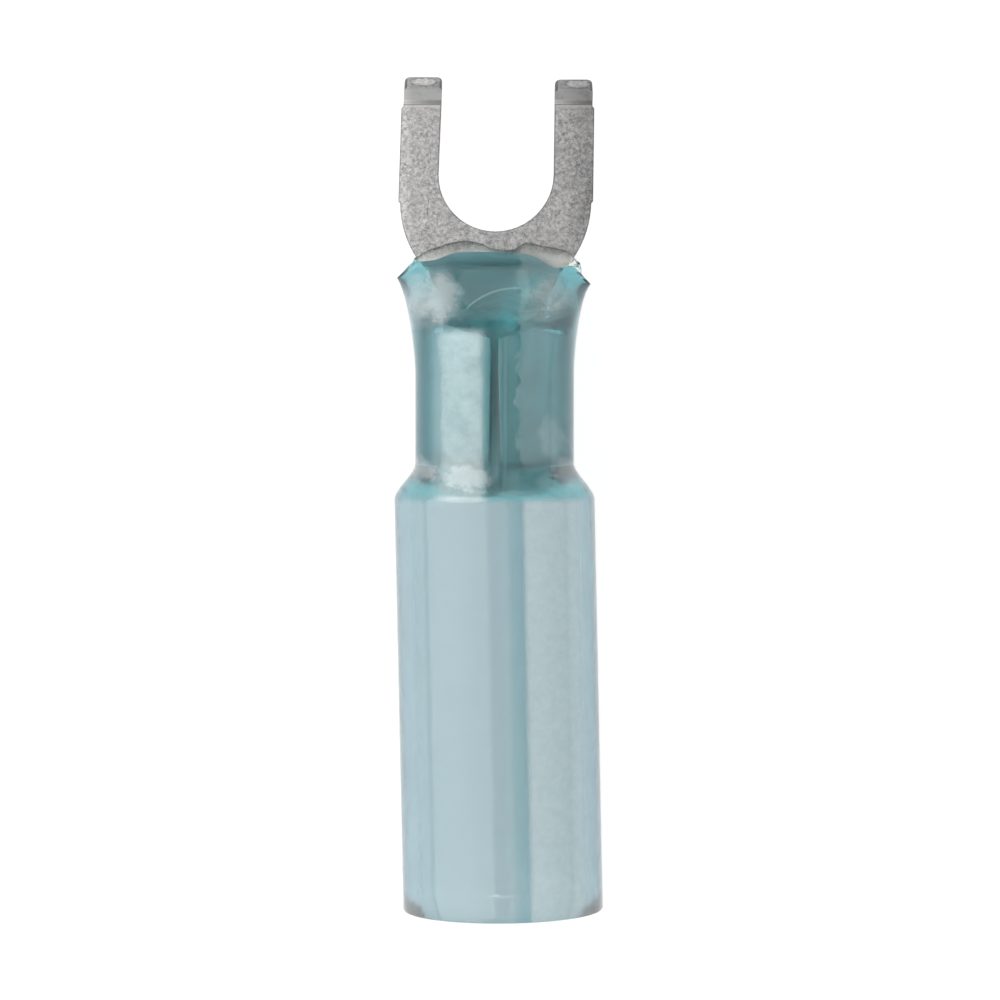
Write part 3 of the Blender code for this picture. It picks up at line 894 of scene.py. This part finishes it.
# %% Straight and ragged coordinates on the sleeve
blue, tree, shader = new_finish("blue_polyolefin")
where = millimetres(tree)
x, y, z = terminal_places(tree)
cloud = noise(tree, where, 0.9, 4.0, 0.6)
ragged = noise(tree, where, 2.2, 5.0, 0.7)
torn = noise(tree, where, 1.3, 5.0, 0.7, stretch=(1.0, 1.0, 0.2))
loose_x = arithmetic(tree, "MULTIPLY_ADD", arithmetic(tree, "SUBTRACT", ragged, 0.5), 1.1, x)
loose_y = arithmetic(tree, "MULTIPLY_ADD", arithmetic(tree, "SUBTRACT", torn, 0.5), 1.6, y)
on_tube = levels(tree, y, -0.5, -0.2, 1, 0, smooth=True)
on_waist = arithmetic(tree, "SUBTRACT", 1.0, on_tube)
print(blue.name, "starts with", len(tree.nodes), "nodes")

# %% [markdown]
# ### Milky bands and painted highlights
# Along the free tube a milky band, partly haze and partly painted sheen, lies on each side of a clear stripe.
# On the waist the left side carries the painted highlight of the left panel, with a torn edge, the right side
# a faint painted sheen, and a painted highlight line runs along the seam with a clear streak beside it.
# Soft-edged bands in X draw these straight marks.

# %% Bands along the tube and the waist
SEAM_RUN = (0.0, 5.6)
# painted sheen of the panels, with some haze, in two bands along the free tube
tube_left_haze_and_sheen = product(tree, band(tree, x, -3.5, 0.50, 0.3, 0.22), 0.13)
tube_right_haze_and_sheen = product(tree, band(tree, x, 1.04, 3.3, 0.12, 0.5), 0.32)
# painted highlight of the left panel on the waist's left side, and a faint painted sheen on its right
seam_side_highlight = product(tree, band(tree, x, -2.1, -0.40, 0.5, 0.24), band(tree, y, -9, 5.75, 0.2), 0.34)
seam_side_highlight = product(tree, seam_side_highlight, levels(tree, torn, 0.35, 0.55, 0.8, 1.05))
right_side_sheen = product(tree, band(tree, loose_x, 0.86, 2.4, 0.08, 0.4), band(tree, y, 0.9, 9, 0.3), 0.12)
along_seam = band(tree, y, *SEAM_RUN, 0.3)
# a thin painted highlight along the seam
seam_highlight_line = product(tree, band(tree, x, 0.34, 0.44, 0.08), along_seam, 0.10)
clear_streak = product(tree, on_waist, band(tree, x, 0.48, 0.86, 0.08), along_seam)
tube_haze_and_sheen = product(tree, on_tube, arithmetic(tree, "ADD", tube_left_haze_and_sheen, tube_right_haze_and_sheen))
waist_milk_and_highlights = product(tree, on_waist, total_of(tree, [seam_side_highlight, right_side_sheen, seam_highlight_line]))
milk_and_sheen = arithmetic(tree, "ADD", tube_haze_and_sheen, waist_milk_and_highlights)
print("clear streak along", SEAM_RUN)

# %% [markdown]
# ### Milky patches of painted highlight
# The painted highlights and sheen on the shoulder and the mouth are milky patches with no straight edges.
# Each is an oval, given by its centre, its half sizes, its softness and its amount of milk, and it is looked
# up at the ragged coordinates, which fray its outline.

# %% Painted highlight patches, the painted highlight on the shoulder rim, and the crease
HIGHLIGHT_OVALS = {
    "shoulder highlight": ((-1.0, 0.44), (0.80, 0.36), 0.40, 0.27),
    "shoulder left sheen": ((-2.60, 0.66), (0.45, 0.42), 0.5, 0.24),
    "shoulder right sheen": ((2.60, 0.66), (0.45, 0.42), 0.5, 0.22),
    "barrel front highlight": ((-1.1, 5.3), (0.75, 0.45), 0.5, 0.06),
    "mouth left highlight": ((-2.40, 7.05), (1.0, 0.95), 0.6, 0.30),
    "mouth left sheen": ((-1.90, 7.0), (0.60, 0.85), 0.5, 0.17),
    "mouth right highlight": ((2.05, 7.1), (0.75, 0.60), 0.6, 0.20),
    "waist right sheen": ((2.1, 1.9), (0.5, 0.75), 0.35, 0.10),
}
SHOULDER_RIM_HIGHLIGHT = ((-1.15, -0.31), (0.85, 0.10), 0.5)
CREASE_CENTRE = (0.80, 4.83)
CREASE_RADIUS = 2.53
CREASE_HALF = 0.03
# each oval is a painted highlight or painted sheen, laid on as milk
for centre, radii, soft, amount in HIGHLIGHT_OVALS.values():
    highlight_patch = product(tree, oval(tree, loose_x, loose_y, centre, radii, soft), amount)
    milk_and_sheen = arithmetic(tree, "ADD", milk_and_sheen, highlight_patch)
# a painted highlight along the shoulder's front rim
milk_and_sheen = arithmetic(tree, "ADD", milk_and_sheen, product(tree, oval(tree, x, y, *SHOULDER_RIM_HIGHLIGHT), 0.15))
off_crease = arithmetic(tree, "SUBTRACT", far_from(tree, x, y, CREASE_CENTRE, (1.0, 1.0)), CREASE_RADIUS)
crease = product(tree, band(tree, off_crease, -CREASE_HALF, CREASE_HALF, CREASE_HALF),
                 band(tree, x, -1.0, 0.9, 0.1), levels(tree, y, 6.3, 6.6, 0, 1), 0.22)
milk_and_sheen = arithmetic(tree, "ADD", milk_and_sheen, crease)
print("milky patches", *HIGHLIGHT_OVALS, sep=", ")

# %% All the milk and painted sheen together, fading underneath and gone where pieces are fused
THIN_HAZE = 0.02
milk_and_sheen = product(tree, milk_and_sheen, levels(tree, ragged, 0.3, 0.7, 0.92, 1.08))
# the milk and painted sheen fade towards the underside
milk_and_sheen = product(tree, milk_and_sheen, levels(tree, z, -1.6, -0.2, 0.4, 1.0, smooth=True))
milk_and_sheen = total_of(tree, [milk_and_sheen, product(tree, clear_streak, 0.04), THIN_HAZE])
milk_and_sheen = product(tree, milk_and_sheen, arithmetic(tree, "SUBTRACT", 1.0, marked_faces(tree, "fused")))
tree.links.new(arithmetic(tree, "SUBTRACT", 1.0, milk_and_sheen, clamp=True), shader.inputs["Transmission Weight"])
print(blue.name, "has its milk,", len(tree.nodes), "nodes")

# %% [markdown]
# ### Tint
# The volume gives the main colour. A light tint on the surface corrects it from place to place: deeper on
# the waist's flanks, painted shade over the hollow behind the tongue, clearer on the streak beside the seam,
# and greyer where there is milk and painted sheen. A fine dark line of painted shade marks the barrel's front
# edge.

# %% The tint from place to place
HOLLOW_SEEN = ((-0.1, 7.05), (1.5, 1.1), 0.35)
tint = blend_colour(tree, levels(tree, cloud, 0.3, 0.7, 0, 1), (0.95, 0.898, 0.935), (0.915, 0.878, 0.92))
tint = blend_colour(tree, on_waist, tint, (0.73, 0.90, 0.925))
flank = levels(tree, arithmetic(tree, "ABSOLUTE", x), 1.95, 2.5, 0, 0.9, smooth=True)
flank = product(tree, flank, band(tree, y, 0.6, 6.0, 0.6, 1.0))
tint = blend_colour(tree, flank, tint, (0.59, 0.78, 0.82))
tint = blend_colour(tree, clear_streak, tint, (0.83, 0.98, 0.99))
# painted shade over the hollow behind the tongue, seen through the sleeve
hollow_shade_seen = product(tree, oval(tree, x, y, *HOLLOW_SEEN), levels(tree, z, -1.0, 0.0, 0, 1))
tint = blend_colour(tree, hollow_shade_seen, tint, (0.42, 0.87, 0.90))
# greyer where the milk and painted sheen lie
tint = blend_colour(tree, levels(tree, milk_and_sheen, 0.05, 0.3, 0, 0.7), tint, (0.90, 0.925, 0.93))
print("hollow seen at", HOLLOW_SEEN[0])

# %% The open end's line, dust, and a painted line of shade at the barrel's edge
BARREL_FRONT = 6.35
LINE_HALF = 0.015
end_line = levels(tree, y, OPEN_END + 0.12, OPEN_END + 0.20, 0.25, 0)
tint = blend_colour(tree, end_line, tint, (0.66, 0.76, 0.78))
dust = levels(tree, noise(tree, where, 5.0, 2.0, 0.5), 0.775, 0.80, 0, 0.7)
tint = blend_colour(tree, dust, tint, (0.22, 0.28, 0.30))
# painted shade: a fine dark line where the barrel's front edge lies under the sleeve
barrel_edge = arithmetic(tree, "MULTIPLY_ADD", x, 0.07, BARREL_FRONT)
barrel_shade_line = band(tree, arithmetic(tree, "SUBTRACT", y, barrel_edge), -LINE_HALF, LINE_HALF, 0.025)
off_seam = arithmetic(tree, "ABSOLUTE", arithmetic(tree, "SUBTRACT", x, 0.1))
beside_seam = levels(tree, off_seam, 0.9, 1.2, 0, 1)
on_top = levels(tree, z, 0.0, 0.5, 0, 1)
shade = product(tree, barrel_shade_line, beside_seam, on_top, levels(tree, ragged, 0.35, 0.6, 0.2, 0.6))
tint = blend_colour(tree, shade, tint, (0.25, 0.42, 0.44))
tree.links.new(tint, shader.inputs["Base Color"])
print("barrel's edge at", BARREL_FRONT)

# %% [markdown]
# ### Surface and depth
# The surface is glossy with soft waves. Its refraction is that of plastic, 1.5, except on the fused faces,
# where light must pass straight on. Under the surface, the volume takes out the red over fractions of a
# millimetre, so its density is a large number per metre.

# %% Gloss, waves, refraction and absorption
SOAK_COLOUR = (0.215, 0.655, 0.72, 1.0)
SOAK_DENSITY = 1750.0
tree.links.new(levels(tree, cloud, 0.3, 0.7, 0.08, 0.16), shader.inputs["Roughness"])
bumped(tree, shader, total_of(tree, [cloud, product(tree, ragged, 0.3)]), 0.04, 0.2)
tree.links.new(levels(tree, marked_faces(tree, "fused"), 0, 1, 1.5, 1.0), shader.inputs["IOR"])
soak = tree.nodes.new("ShaderNodeVolumeAbsorption")
soak.inputs["Color"].default_value = SOAK_COLOUR
soak.inputs["Density"].default_value = SOAK_DENSITY
tree.links.new(soak.outputs[0], tree.nodes["Material Output"].inputs["Volume"])
dress(jacket, blue)
print(blue.name, len(tree.nodes), "nodes")

# %% [markdown]
# ## Clear hot-melt
# The adhesive is nearly water clear, with a faint yellow cast, and its surface is softly uneven because it
# froze as it ran. It needs little colour: a touch of yellow, a gloss that changes from place to place, and
# shallow waves about half a millimetre long in its height do more than any pattern.

# %% The lining's finish
glue, tree, shader = new_finish("clear_hot_melt")
where = millimetres(tree)
cloud = noise(tree, where, 0.9, 4.0, 0.6)
shader.inputs["Base Color"].default_value = (0.96, 0.965, 0.93, 1.0)
shader.inputs["Transmission Weight"].default_value = 0.97
tree.links.new(levels(tree, cloud, 0.3, 0.7, 0.08, 0.18), shader.inputs["Roughness"])
tree.links.new(levels(tree, marked_faces(tree, "fused"), 0, 1, 1.5, 1.0), shader.inputs["IOR"])
bumped(tree, shader, noise(tree, where, 1.6, 3.0, 0.6), 0.05, 0.35)
dress(lining, glue)
print(glue.name, len(tree.nodes), "nodes")

# %% [markdown]
# ## Joining the frame
# The terminal has no joints, so it is one body. Each new piece rides on that body and stands for its
# packed node.

# %% Riding on the frame
for piece, node, slot_name in (
    (metal, "fork_terminal", "tinned_copper"),
    (jacket, "heat_shrink_sleeve", "blue_jacket"),
    (lining, "adhesive_lining", "hot_melt_adhesive"),
):
    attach(piece, "root")
    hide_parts(node)
    print(piece.name, "stands for", node)
